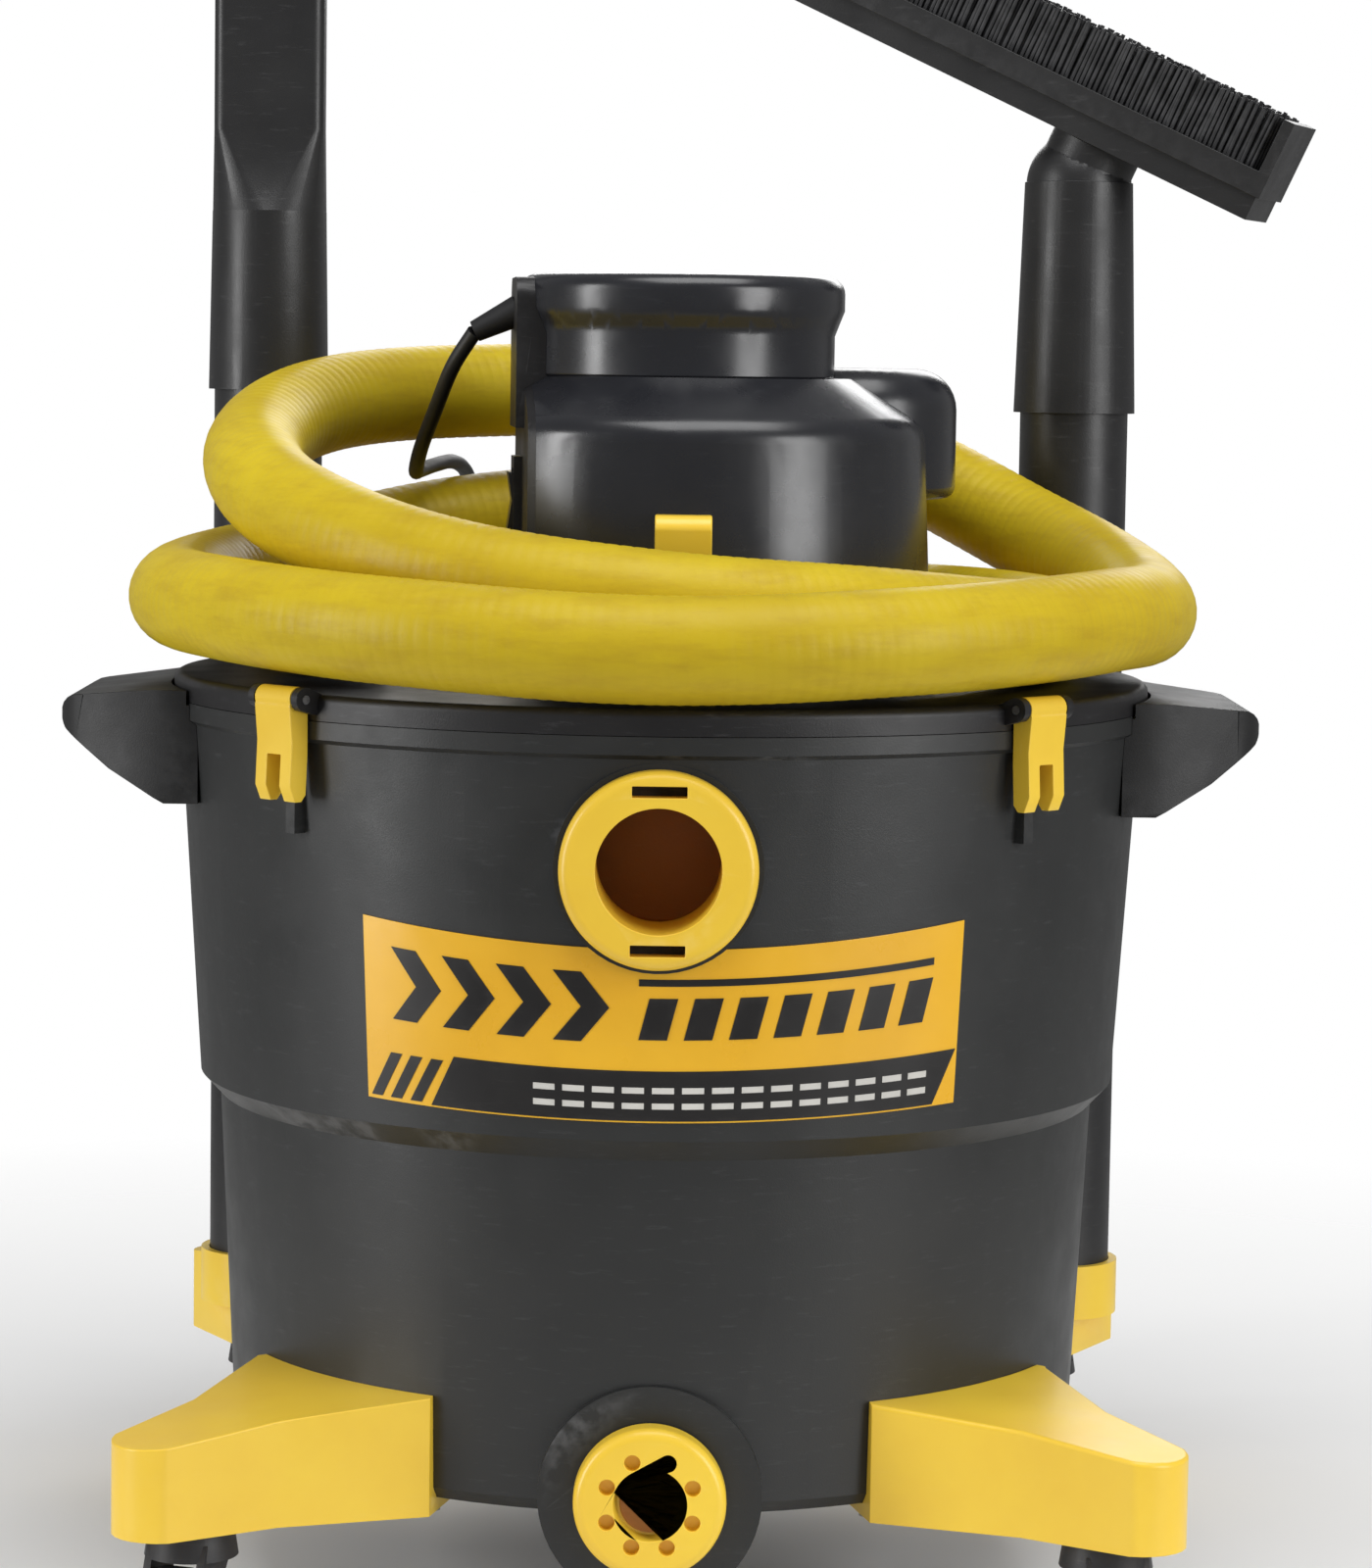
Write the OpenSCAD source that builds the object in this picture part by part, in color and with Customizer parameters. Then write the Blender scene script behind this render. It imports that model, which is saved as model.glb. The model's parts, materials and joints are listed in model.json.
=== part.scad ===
// Wet and dry shop vacuum of about 60 litres on four casters, its hose coiled on the lid.
// Millimetres. +Z is up, -Y is the front, +X is to the right as seen from the front.
// The origin is the centre of the flat underside of the drum.

/* [Drum] */
// Outer radius of the rolled rim
rim_r = 233; // [232.5:0.25:233.5]
// Height of the drum from its underside to its rim
drum_h = 351; // [350.5:0.25:351.5]
// Thickness of the drum wall
drum_wall = 4; // [3.5:0.25:4.5]
// Height of the step in the wall
step_z = 162; // [155:1:168]
// Half the distance across the handle tips
handle_reach = 283; // [275:1:290]

/* [Inlet and drain] */
// Height of the inlet's centre
inlet_z = 293.5; // [292:0.5:294.5]
// Radius of the inlet's bore
inlet_bore_r = 27.5; // [26:0.25:28.5]
// Height of the drain cap's centre
drain_z = 10; // [9:0.5:11]
// Radius of the drain cap
drain_cap_r = 34; // [32:0.5:35]

/* [Head] */
// Radius of the motor cover at its foot
head_r = 117; // [116:0.5:118]
// Height of the motor cover's shoulder
head_top = 505; // [503:0.5:506]
// Radius of the top cap
cap_r = 77.6; // [77:0.2:79]
// Height of the top of the cap
cap_top = 553; // [551:1:555]

/* [Wands and tools] */
// Outer radius of a wand
wand_r = 28; // [27.5:0.25:28]
// Height of the top end of a wand
wand_top = 539; // [535:1:541]
// Length of the floor tool
floor_tool_l = 330; // [310:1:334]
// Tilt of the floor tool's neck in degrees
neck_tilt = 25; // [22:1:28]
// Turn of the floor tool about its wand in degrees
neck_yaw = 19; // [17:1:24]
// Width of the crevice tool's blade
blade_w = 57; // [52:1:58]
// Height of the crevice tool's tip
crevice_top = 824; // [780:1:860]

/* [Running gear] */
// Radius of a caster wheel
wheel_r = 25; // [24:0.5:25]
// Distance from a caster's swivel to its axle
caster_trail = 18; // [16:1:20]

/* [Hose and cord] */
// Outer diameter of the hose
hose_d = 47.6; // [46.6:0.2:47.6]
// Diameter of the power cord
cord_d = 7.6; // [7:0.2:7.6]

/* [Hidden] */
$fn = 96;
fit = 0.05;                          // radial running clearance of a shaft in its bore
gap = 0.3;                           // space between parts that move past each other

bead_z = drum_h - 10;                // underside of the rolled rim
wall_top_r = rim_r - 3;              // outer wall radius under the rolled rim
wall_mid_r = rim_r - 13.5;           // outer wall radius above the step
lower_top_r = rim_r - 23;            // outer wall radius below the step
base_r = rim_r - 30.5;               // outer wall radius at the underside
rim_in_r = wall_top_r - drum_wall;   // inside of the rim
lid_z = drum_h + 12;                 // top of the lid
lid_plate = 4;
head_x = 12.5;                       // axis of the motor cover
cap_x = 7.5;                         // axis of the top cap
clip_x = 9;                          // middle of the hose clip
motor_x = 10;                        // axis of the motor
shaft_r = 4;
impeller_z = 370;
panel_x = -69;                       // outer face of the switch panel
panel_turn = 4;
inlet_face_y = -230;                 // face of the moulded boss round the inlet
inlet_flange_y = -243;               // front of the inlet ring
ring_r = 43.5;
drain_face_y = -207;                 // face of the moulded boss round the drain
drain_neck_r = 26;
pin_r = 2;
latch_w = 24;
latch_pivot_r = 239;                 // radius and height of a latch's pin
latch_pivot_z = 361;
latch_angles = [225, 315, 126, 54];  // front left, front right, rear left, rear right
caster_x = 204;
caster_y = 200;
stem_r = 5;
stem_top = 13;
foot_bottom = -6;
foot_corner_front = 216;             // centre of a foot's rounded corner, both ways
foot_corner_rear = 224;
axle_r = 3;
axle_z = -47;
wand_left_x = 207;                   // distance of each wand from the middle
wand_right_x = 213;
wand_y = 200;
wand_foot_z = 18.5;                  // bottom end of a wand in its foot
wand_wall = 2.5;
socket_z = 494;                      // lower end of the crevice tool's socket
neck_z = 488;                        // lower end of the floor tool's socket
elbow_z = 607;                       // bend in the floor tool's neck
housing_z = 22;                      // floor tool housing, measured along the tilted neck
housing_h = 25;
housing_w = 56;
bristle_end = 78;
tool_shift = -70;                    // middle of the floor tool from its neck
filter_r = 95;
filter_in_r = 72;
filter_top = 352;
filter_bottom = 172;
float_r = 26;
float_z = 255.3;
relief_from = [-70, 8, 536];         // root of the cord's strain relief
relief_to = [-92, 9, 525];
coil_at = [-20, 352, -72];           // centre of the coiled cord, on the floor
coil_layers = 4;

// Hose route, one row for each 30 degrees clockwise from the left side: radius and height.
hose_keys = [[160, 391.5], [178, 388.5], [185, 387.7], [185, 387.7], [185, 387.7], [184, 387.7],
    [184, 388], [183.5, 391], [183, 399], [186, 406], [188, 418], [192, 440],
    [197, 465], [199, 487], [199, 495], [200, 493], [205, 468], [222, 424],
    [231, 399], [231, 397], [231, 392.5], [231, 388.5], [231, 393], [231, 397.5],
    [231, 399], [229, 407], [213, 427], [208, 436]];
hose_span = 804;                     // degrees that the hose goes round
hose_ring = 12;                      // degrees from one ring of the tube to the next

// Power cord route from the strain relief over the hose and down behind the drum.
cord_route = [[-92, 9, 525], [-103, 20, 508], [-112, 38, 487], [-120, 62, 468], [-124, 92, 456],
    [-124, 125, 455], [-118, 160, 457], [-110, 192, 458], [-104, 220, 451], [-100, 240, 430],
    [-98, 248, 400], [-97, 250, 340], [-96, 249, 270], [-95, 248, 200], [-94, 247, 130],
    [-93, 246, 60], [-92, 246, 0], [-90, 250, -36], [-86, 262, -57], [-76, 278, -67],
    [-60, 289, -68.2], [-40, 296, -68.2]];
// Tail of the cord from the coil to the plug.
tail_route = [[35.5, 316.5, -50], [52, 324, -56], [72, 324, -62], [92, 316, -64]];
plug_at = [92, 316, -64];

function arc(x, y, r, from, to, n = 8) =
    [for (i = [0 : n]) let (a = from + (to - from) * i / n) [x + r * cos(a), y + r * sin(a)]];

// Outer radius of the drum wall at height z above the step.
function wall_r(z) = wall_mid_r + (wall_top_r - wall_mid_r) * (z - step_z - 10) / (bead_z - step_z - 10);

// Catmull-Rom value at t between b and c.
function blend4(a, b, c, d, t) =
    0.5 * (2 * b + (c - a) * t + (2 * a - 5 * b + 4 * c - d) * t * t
        + (3 * b - a - 3 * c + d) * t * t * t);

function hose_key(i) = hose_keys[min(max(i, 0), len(hose_keys) - 1)];

// Point on the hose's centre line after turning clockwise by s degrees.
function hose_point(s) =
    let (
        i = floor(s / 30),
        p = blend4(hose_key(i - 1), hose_key(i), hose_key(i + 1), hose_key(i + 2), s / 30 - i),
        a = 180 - s
    )
    [p[0] * cos(a), p[0] * sin(a), p[1]];

function unit(v) = v / norm(v);
function tangent(p, i) = unit(p[min(i + 1, len(p) - 1)] - p[max(i - 1, 0)]);

// Side vector carried along the route so that the tube doesn't twist.
function carry(v, t) = unit(v - (v * t) * t);
function sides(p, i, v) =
    i == len(p) ? [] : let (w = carry(v, tangent(p, i))) concat([w], sides(p, i + 1, w));

// Closed tube of radius r and n sides swept along the points p.
module tube(p, r, n) {
    w = sides(p, 0, abs(tangent(p, 0)[2]) > 0.9 ? [1, 0, 0] : [0, 0, 1]);
    rings = [for (i = [0 : len(p) - 1], k = [0 : n - 1])
        p[i] + r * (cos(360 * k / n) * w[i] + sin(360 * k / n) * cross(tangent(p, i), w[i]))];
    walls = [for (i = [0 : len(p) - 2], k = [0 : n - 1])
        [i * n + k, i * n + (k + 1) % n, (i + 1) * n + (k + 1) % n, (i + 1) * n + k]];
    ends = [[for (k = [n - 1 : -1 : 0]) k], [for (k = [0 : n - 1]) (len(p) - 1) * n + k]];
    polyhedron(rings, concat([for (f = walls) [f[3], f[2], f[1], f[0]]],
        [for (f = ends) [for (k = [n - 1 : -1 : 0]) f[k]]]));
}

// Turned piece whose axis is +Y, from a profile of [radius, depth behind the front y].
module turned_y(x, z, front_y) translate([x, front_y, z]) rotate([-90, 0, 0]) children();

module along(from, to) {
    d = to - from;
    translate(from) rotate([0, acos(d[2] / norm(d)), atan2(d[1], d[0])]) children();
}

// Outside of the drum as a profile, grown by g.
function drum_profile(g) = [[0, -g], [base_r - 6 + g, -g], [base_r + g, 6], [lower_top_r + g, step_z],
    [wall_mid_r + g, step_z + 10], [wall_top_r + g, bead_z], [rim_r + g, bead_z + 2 - g],
    [rim_r + g, drum_h], [0, drum_h]];
module drum_shape(g) rotate_extrude() polygon(drum_profile(g));

module drum_inside() {
    w = drum_wall;
    rotate_extrude() polygon([[0, w], [base_r - 6 - w, w], [base_r - w, 6 + w],
        [lower_top_r - w, step_z + 3], [wall_mid_r - w, step_z + 13], [rim_in_r, bead_z],
        [rim_in_r, drum_h + 1], [0, drum_h + 1]]);
}

// Places children at each latch, looking outwards along +X.
module at_latch(i) rotate([0, 0, latch_angles[i]]) children();

// Screw bosses inside the drum's floor, two over each foot.
foot_screw_angles = [for (q = [0 : 3], s = [-13, 13]) 45 + 90 * q + s];
foot_screw_r = 188;
handle_screw_y = 45;
handle_screw_z = 322;

module drum() color([0.27, 0.27, 0.28]) difference() {
    union() {
        difference() {
            union() {
                drum_shape(0);
                turned_y(0, inlet_z, inlet_face_y) cylinder(r = 46, h = 30);
                turned_y(0, drain_z, drain_face_y) cylinder(r = 50, h = 34);
                for (i = [0 : 3]) at_latch(i) translate([215, -3, 300]) cube([18.5, 6, 36]);
            }
            drum_inside();
            turned_y(0, drain_z, drain_face_y + 4) cylinder(r = 46, h = 26);
        }
        turned_y(0, drain_z, drain_face_y - 7) cylinder(r = drain_neck_r, h = 8);
        for (a = foot_screw_angles)
            rotate([0, 0, a]) translate([foot_screw_r, 0, 1]) cylinder(r = 7, h = 13);
    }
    turned_y(0, inlet_z, inlet_face_y - 1) cylinder(r = inlet_bore_r + 3.5, h = 40);
    turned_y(0, drain_z, drain_face_y - 8) cylinder(r = 20, h = 20);
    for (a = foot_screw_angles)
        rotate([0, 0, a]) translate([foot_screw_r, 0, -1]) cylinder(r = 2.2, h = 12);
    for (s = [-1, 1], y = [-1, 1])
        translate([s * 222, y * handle_screw_y, handle_screw_z]) rotate([0, s * 90, 0])
            cylinder(r = 2, h = 20);
}

// Hooded carrying handle on the +X side; side is -1 for the left one.
module handle(side) color([0.09, 0.09, 0.10]) mirror([side < 0 ? 1 : 0, 0, 0]) difference() {
    intersection() {
        rotate([90, 0, 0]) linear_extrude(160, center = true)
            polygon(concat([[215, 304], [231, 304], [258, 319]],
                arc(handle_reach - 10, 343, 10, -60, 90, 8), [[236, 357], [215, 357]]));
        translate([0, 0, 300]) linear_extrude(60) polygon(concat([[200, -80], [236, -80]],
            arc(handle_reach - 24, -40, 24, -60, 0, 6), arc(handle_reach - 24, 40, 24, 0, 60, 6),
            [[236, 80], [200, 80]]));
    }
    drum_shape(0.1);
    translate([0, 0, drum_h - 1]) cylinder(r = rim_r + 1.5, h = 20);
    rotate([90, 0, 0]) linear_extrude(104, center = true)
        polygon([[243, 290], [243, 346], [246, 349], [handle_reach - 11, 348.5],
            [handle_reach - 7, 344], [handle_reach - 7, 290]]);
    for (y = [-1, 1]) translate([215, y * handle_screw_y, handle_screw_z]) rotate([0, 90, 0])
        cylinder(r = 2, h = 40);
}
module handle_left() handle(-1);
module handle_right() handle(1);

module drum_screws() color([0.6, 0.6, 0.62]) {
    for (a = foot_screw_angles)
        rotate([0, 0, a]) translate([foot_screw_r, 0, foot_bottom - 2.5]) {
            cylinder(r = 4.5, h = 2.5);
            cylinder(r = 2.2, h = 18);
        }
    for (s = [-1, 1], y = [-1, 1])
        translate([s * 222, y * handle_screw_y, handle_screw_z]) rotate([0, s * 90, 0]) {
            cylinder(r = 2, h = 24);
            translate([0, 0, 21]) cylinder(r = 4.5, h = 3);
        }
}

// Front ring and tube of the inlet in one piece.
module inlet_ring() color([0.98, 0.78, 0.25]) difference() {
    union() {
        turned_y(0, inlet_z, inlet_flange_y) rotate_extrude() polygon(concat(
            [[inlet_bore_r + 2, 0]], arc(ring_r - 5, 5, 5, -90, 0, 6),
            [[ring_r, 11.5], [inlet_bore_r + 2, 11.5]]));
        turned_y(0, inlet_z, inlet_flange_y) cylinder(r = inlet_bore_r + 3, h = 50);
    }
    turned_y(0, inlet_z, inlet_flange_y - 1) cylinder(r = inlet_bore_r, h = 60);
    for (s = [-1, 1]) translate([-12, inlet_flange_y - 1, inlet_z + s * 34.5 - 2.5]) cube([24, 13, 5]);
}

module inlet_gasket() color([0.08, 0.08, 0.08]) difference() {
    turned_y(0, inlet_z, inlet_face_y - 1.5) cylinder(r = ring_r - 1, h = 1.5);
    turned_y(0, inlet_z, inlet_face_y - 2) cylinder(r = inlet_bore_r + 3.5, h = 3);
}

// Scoop inside the drum that turns the incoming air to the left.
module inlet_deflector() color([0.1, 0.1, 0.1]) difference() {
    turned_y(0, inlet_z, -206) cylinder(r = inlet_bore_r + 7, h = 48);
    turned_y(0, inlet_z, -207) cylinder(r = inlet_bore_r + 3, h = 45);
    translate([-60, -192, inlet_z - 24]) cube([60, 30, 48]);
}

// Label film on the wall, with a gently curved upper and lower edge.
module label_panel() color([0.98, 0.72, 0.18]) difference() {
    intersection() {
        rotate([0, 0, -125.4]) rotate_extrude(angle = 72.5) polygon([[wall_r(178), 178],
            [wall_r(178) + 0.8, 178], [wall_r(270) + 0.8, 270], [wall_r(270), 270]]);
        turned_y(0, 180.5 + 2312, -260) cylinder(r = 2312, h = 260, $fn = 360);
    }
    turned_y(0, 257.5 + 973, -261) cylinder(r = 973, h = 262, $fn = 360);
    turned_y(0, inlet_z, -260) cylinder(r = 46.2, h = 60);
}

module drain_gasket() color([0.08, 0.08, 0.08]) difference() {
    turned_y(0, drain_z, drain_face_y - 1.2) cylinder(r = 31, h = 1.2);
    turned_y(0, drain_z, drain_face_y - 2) cylinder(r = drain_neck_r, h = 3);
}

// Screw cap with a ring of grip holes and a recessed centre.
module drain_cap() color([0.98, 0.78, 0.25]) difference() {
    turned_y(0, drain_z, drain_face_y - 15) rotate_extrude() polygon(concat([[0, 6], [14.5, 6],
        [16.3, 0]], arc(drain_cap_r - 5, 5, 5, -90, 0, 6), [[drain_cap_r, 13.5], [0, 13.5]]));
    turned_y(0, drain_z, drain_face_y - 7.5) cylinder(r = drain_neck_r + fit, h = 10);
    for (k = [0 : 7]) turned_y(20.5 * sin(45 * k + 22.5), drain_z + 20.5 * cos(45 * k + 22.5),
        drain_face_y - 16) cylinder(r = 3.6, h = 6.5);
}

// Sloping top of a foot, as the height at a radius from the drum's axis.
function foot_top(r) = 48.5 - 0.108 * (r - 205);
// Outline of a foot whose rounded corner is centred at (c, c).
module foot_plan(c) polygon(concat([[90, 146], [99, 184], [165, c - 9]],
    arc(c, c, 22, 105, -15), [[c - 9, 165], [184, 99], [146, 90]]));
module foot_cone(drop) rotate_extrude() polygon([[0, foot_bottom - 1], [360, foot_bottom - 1],
    [360, foot_top(360) - drop], [205, foot_top(205) - drop], [0, foot_top(205) - drop]]);

// Corner foot in the quadrant given by the signs sx and sy; a rear foot has a wand socket.
module foot(sx, sy) color([0.98, 0.80, 0.28]) mirror([sx < 0 ? 1 : 0, 0, 0])
mirror([0, sy < 0 ? 1 : 0, 0]) difference() {
    corner = sy < 0 ? foot_corner_front : foot_corner_rear;
    socket_x = sx < 0 ? wand_left_x : wand_right_x;
    union() {
        difference() {
            intersection() {
                translate([0, 0, foot_bottom]) linear_extrude(70) foot_plan(corner);
                foot_cone(0);
            }
            intersection() {
                translate([0, 0, foot_bottom - 1]) linear_extrude(70) offset(delta = -4) foot_plan(corner);
                difference() {
                    foot_cone(4);
                    translate([0, 0, foot_bottom - 2]) cylinder(r = 212, h = 80);
                }
            }
        }
        translate([caster_x, caster_y, foot_bottom]) cylinder(r = 12, h = 43.8);
        if (sy > 0) translate([socket_x, wand_y, 14]) cylinder(r = wand_r + 4.5, h = 28);
    }
    drum_shape(0.1);
    translate([0, 0, foot_bottom - 1]) cylinder(r = 176, h = 12);
    translate([caster_x, caster_y, foot_bottom - 1]) cylinder(r = stem_r + fit, h = stem_top + 7.5);
    if (sy > 0) translate([socket_x, wand_y, wand_foot_z - gap]) cylinder(r = wand_r + 0.4, h = 60);
    for (s = [-13, 13]) rotate([0, 0, 45 + s]) translate([foot_screw_r, 0, foot_bottom - 1])
        cylinder(r = 2.2, h = 12);
}
module foot_front_left() foot(-1, -1);
module foot_front_right() foot(1, -1);
module foot_rear_left() foot(-1, 1);
module foot_rear_right() foot(1, 1);

// Places children at a caster with the wheel trailing along +X.
module at_caster(sx, sy, turn) translate([sx * caster_x, sy * caster_y, 0]) rotate([0, 0, turn])
    children();

fork_in = 11;                        // half the space between the fork's cheeks
fork_out = 14.5;
module caster_fork() color([0.12, 0.12, 0.13]) difference() {
    union() {
        translate([0, 0, -19.5]) cylinder(r1 = 21, r2 = 19, h = 13.1);
        translate([0, 0, -8]) cylinder(r = stem_r, h = stem_top + 8);
        for (y = [-fork_out, fork_in]) translate([0, y + fork_out - fork_in, 0]) rotate([90, 0, 0]) {
            linear_extrude(fork_out - fork_in) polygon(concat([[-15, -12], [15, -12]],
                arc(caster_trail, axle_z, 9, 25, -120, 8)));
        }
    }
    translate([caster_trail, 0, axle_z]) rotate([90, 0, 0])
        cylinder(r = axle_r, h = 40, center = true);
    translate([caster_trail, 0, axle_z]) rotate([90, 0, 0])
        cylinder(r = wheel_r + 1.2, h = 2 * fork_in, center = true);
}
module caster_axle() color([0.7, 0.7, 0.72]) translate([caster_trail, 0, axle_z])
    rotate([90, 0, 0]) cylinder(r = axle_r, h = 2 * fork_out + 2, center = true);
module caster_wheel() color([0.07, 0.07, 0.07]) translate([caster_trail, 0, axle_z])
    rotate([90, 0, 0]) rotate_extrude() polygon(concat([[axle_r + fit, -10], [10, -10], [11, -7.5],
        [18, -7.5], [19.5, -9.5]], arc(wheel_r - 4, -5.5, 4, -90, 0, 4),
        arc(wheel_r - 4, 5.5, 4, 0, 90, 4), [[19.5, 9.5], [18, 7.5], [11, 7.5], [10, 10],
        [axle_r + fit, 10]]));

caster_turns = [250, 285, 70, 115];  // trailing directions in the order of the casters
module caster_fork_front_left() at_caster(-1, -1, caster_turns[0]) caster_fork();
module caster_fork_front_right() at_caster(1, -1, caster_turns[1]) caster_fork();
module caster_fork_rear_left() at_caster(-1, 1, caster_turns[2]) caster_fork();
module caster_fork_rear_right() at_caster(1, 1, caster_turns[3]) caster_fork();
module caster_axle_front_left() at_caster(-1, -1, caster_turns[0]) caster_axle();
module caster_axle_front_right() at_caster(1, -1, caster_turns[1]) caster_axle();
module caster_axle_rear_left() at_caster(-1, 1, caster_turns[2]) caster_axle();
module caster_axle_rear_right() at_caster(1, 1, caster_turns[3]) caster_axle();
module caster_wheel_front_left() at_caster(-1, -1, caster_turns[0]) caster_wheel();
module caster_wheel_front_right() at_caster(1, -1, caster_turns[1]) caster_wheel();
module caster_wheel_rear_left() at_caster(-1, 1, caster_turns[2]) caster_wheel();
module caster_wheel_rear_right() at_caster(1, 1, caster_turns[3]) caster_wheel();

head_screw_angles = [-100, -60, -20, 20, 60, 100];
head_screw_r = 105;

// Lid disc with a skirt over the rim, an inner locating ring and the latch ears.
module lid() color([0.10, 0.10, 0.11]) difference() {
    union() {
        rotate_extrude() polygon(concat([[0, lid_z - lid_plate], [221, lid_z - lid_plate],
            [221, drum_h - 8], [224.5, drum_h - 8], [224.5, lid_z - lid_plate],
            [229, lid_z - lid_plate], [229, drum_h + gap], [rim_r, drum_h + gap]],
            arc(rim_r - 4, lid_z - 4, 4, 0, 90, 5), [[0, lid_z]]));
        for (i = [0 : 3], s = [-1, 1]) at_latch(i) translate([0, s * (latch_w / 2 + 2.6), 0])
            rotate([90, 0, 0]) linear_extrude(4, center = true) polygon(concat([[229.5, 354], [233, 354]],
                arc(latch_pivot_r, latch_pivot_z, 5.5, -60, 110, 8), [[229.5, 363]]));
    }
    translate([motor_x, 0, lid_z - 10]) cylinder(r = 30, h = 20);
    for (i = [0 : 3]) at_latch(i) translate([latch_pivot_r, 0, latch_pivot_z]) rotate([90, 0, 0])
        cylinder(r = pin_r, h = 60, center = true);
    for (a = head_screw_angles) translate([head_x, 0, 0]) rotate([0, 0, a])
        translate([head_screw_r, 0, lid_z - 10]) cylinder(r = 2, h = 20);
}

module lid_gasket() color([0.06, 0.06, 0.06]) difference() {
    translate([0, 0, drum_h + gap]) cylinder(r = 228.7, h = lid_z - lid_plate - drum_h - gap);
    translate([0, 0, drum_h - 1]) cylinder(r = 225, h = 20);
}

module latch_pins() color([0.7, 0.7, 0.72]) for (i = [0 : 3]) at_latch(i)
    translate([latch_pivot_r, 0, latch_pivot_z]) rotate([90, 0, 0])
        cylinder(r = pin_r, h = latch_w + 10, center = true);

// Forked lever hanging from the lid's edge; its two prongs straddle a rib on the drum.
module latch(i) color([0.98, 0.78, 0.22]) at_latch(i) difference() {
    union() {
        translate([latch_pivot_r, 0, latch_pivot_z]) rotate([90, 0, 0])
            cylinder(r = 5.5, h = latch_w, center = true);
        rotate([90, 0, 0]) linear_extrude(latch_w, center = true) polygon([[233.6, 361],
            [233.6, 336], [234.5, 318], [237, 315], [241, 315], [244, 322], [243, 342],
            [244.5, 358], [243, 361]]);
    }
    translate([230, -4.5, 310]) cube([20, 9, 26]);
    translate([latch_pivot_r, 0, latch_pivot_z]) rotate([90, 0, 0])
        cylinder(r = pin_r + fit, h = 40, center = true);
}
module latch_front_left() latch(0);
module latch_front_right() latch(1);
module latch_rear_left() latch(2);
module latch_rear_right() latch(3);

// Places children on the switch panel: +X goes into the head, +Y along the panel.
module at_panel() translate([panel_x, 0, 0]) rotate([0, 0, panel_turn]) children();
module head_base_shape(g) translate([head_x, 0, 0]) rotate_extrude() polygon(concat(
    [[0, lid_z + 0.2], [head_r + g, lid_z + 0.2], [head_r - 5 + g, head_top - 30]],
    arc(head_r - 19, head_top - 30, 14 + g, 0, 62, 6), [[76, head_top + g], [0, head_top + g]]));
module head_side_shape(g) difference() {
    head_base_shape(g);
    at_panel() translate([-100, -200, 300]) cube([100, 400, 300]);
}
module head_cap_shape(g) translate([cap_x, 0, 0]) rotate_extrude() polygon(concat(
    [[0, head_top], [cap_r - 4.6 + g, head_top], [cap_r - 4.6 + g, cap_top - 28], [cap_r + g, cap_top - 16]],
    arc(cap_r - 8, cap_top - 8, 8 + g, 0, 90, 6), [[0, cap_top + g]]));

module head_base() color([0.13, 0.13, 0.15]) difference() {
    union() {
        difference() {
            head_base_shape(0);
            translate([0, 0, -0.3]) head_base_shape(-3.5);
        }
        for (a = head_screw_angles) translate([head_x, 0, lid_z + 0.2]) rotate([0, 0, a])
            translate([head_screw_r, 0, 0]) cylinder(r = 9.5, h = 22);
    }
    at_panel() translate([-100, -200, 300]) cube([103.5, 400, 300]);
    translate([motor_x, 0, head_top - 20]) cylinder(r = 58, h = 40);
    for (a = head_screw_angles) translate([head_x, 0, 0]) rotate([0, 0, a])
        translate([head_screw_r, 0, lid_z - 1]) cylinder(r = 2, h = 18);
}

module head_cap() color([0.13, 0.13, 0.15]) difference() {
    head_cap_shape(0);
    translate([0, 0, -0.5]) head_cap_shape(-3);
}

// Rounded exhaust cowl behind the right shoulder, with outlet slots.
module exhaust_cowl() color([0.13, 0.13, 0.15]) difference() {
    translate([88, 60, 0]) rotate_extrude() polygon(concat([[0, 447], [48, 447]],
        arc(49, 453, 6, -90, 0, 4), arc(35, 490, 20, 0, 90, 8), [[0, 510]]));
    translate([88, 60, 0]) rotate_extrude() polygon(concat([[0, 450], [52, 450]],
        arc(35, 490, 17, 0, 90, 8), [[0, 507]]));
    head_base_shape(0.05);
    head_cap_shape(2);
    for (k = [0 : 4]) translate([88, 60, 458 + 7 * k]) rotate([0, 0, 45])
        translate([30, -32, 0]) cube([40, 64, 3]);
}

// Flat side of the head with the switch opening and a tower that anchors the cord.
module switch_panel() color([0.11, 0.11, 0.12]) difference() {
    union() {
        intersection() {
            at_panel() translate([0, -90, lid_z + 0.2]) cube([3.5, 180, 150]);
            head_base_shape(0);
        }
        difference() {
            at_panel() translate([-4, 0, 480]) rotate([90, 0, 90]) linear_extrude(30)
                polygon(concat([[-36, 0], [36, 0]], arc(26, 61, 10, 0, 90, 5), arc(-26, 61, 10, 90, 180, 5)));
            head_side_shape(0.05);
            head_cap_shape(0.05);
            at_panel() translate([12, -50, 470]) cube([40, 100, 90]);
        }
        at_panel() translate([-4, -17, 424]) cube([6, 34, 42]);
    }
    at_panel() translate([-10, -11 - gap, 430 - gap]) cube([30, 22 + 2 * gap, 30 + 2 * gap]);
    at_panel() translate([0, 0, 445]) rotate([90, 0, 0]) cylinder(r = 1.5, h = 30, center = true);
    along(relief_from, relief_to) translate([0, 0, -14]) cylinder(r = 6, h = 20);
}

// Rocker with its two stub pivots in the panel's bezel.
module rocker_switch() color([0.04, 0.04, 0.045]) at_panel() {
    rotate([90, 0, 0]) linear_extrude(22, center = true) polygon([[-6.5, 431.5], [-4.5, 445],
        [-6.5, 458.5], [4, 456], [7, 445], [4, 434]]);
    translate([0, 0, 445]) rotate([90, 0, 0]) cylinder(r = 1.5 - fit, h = 29, center = true);
}

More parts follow.
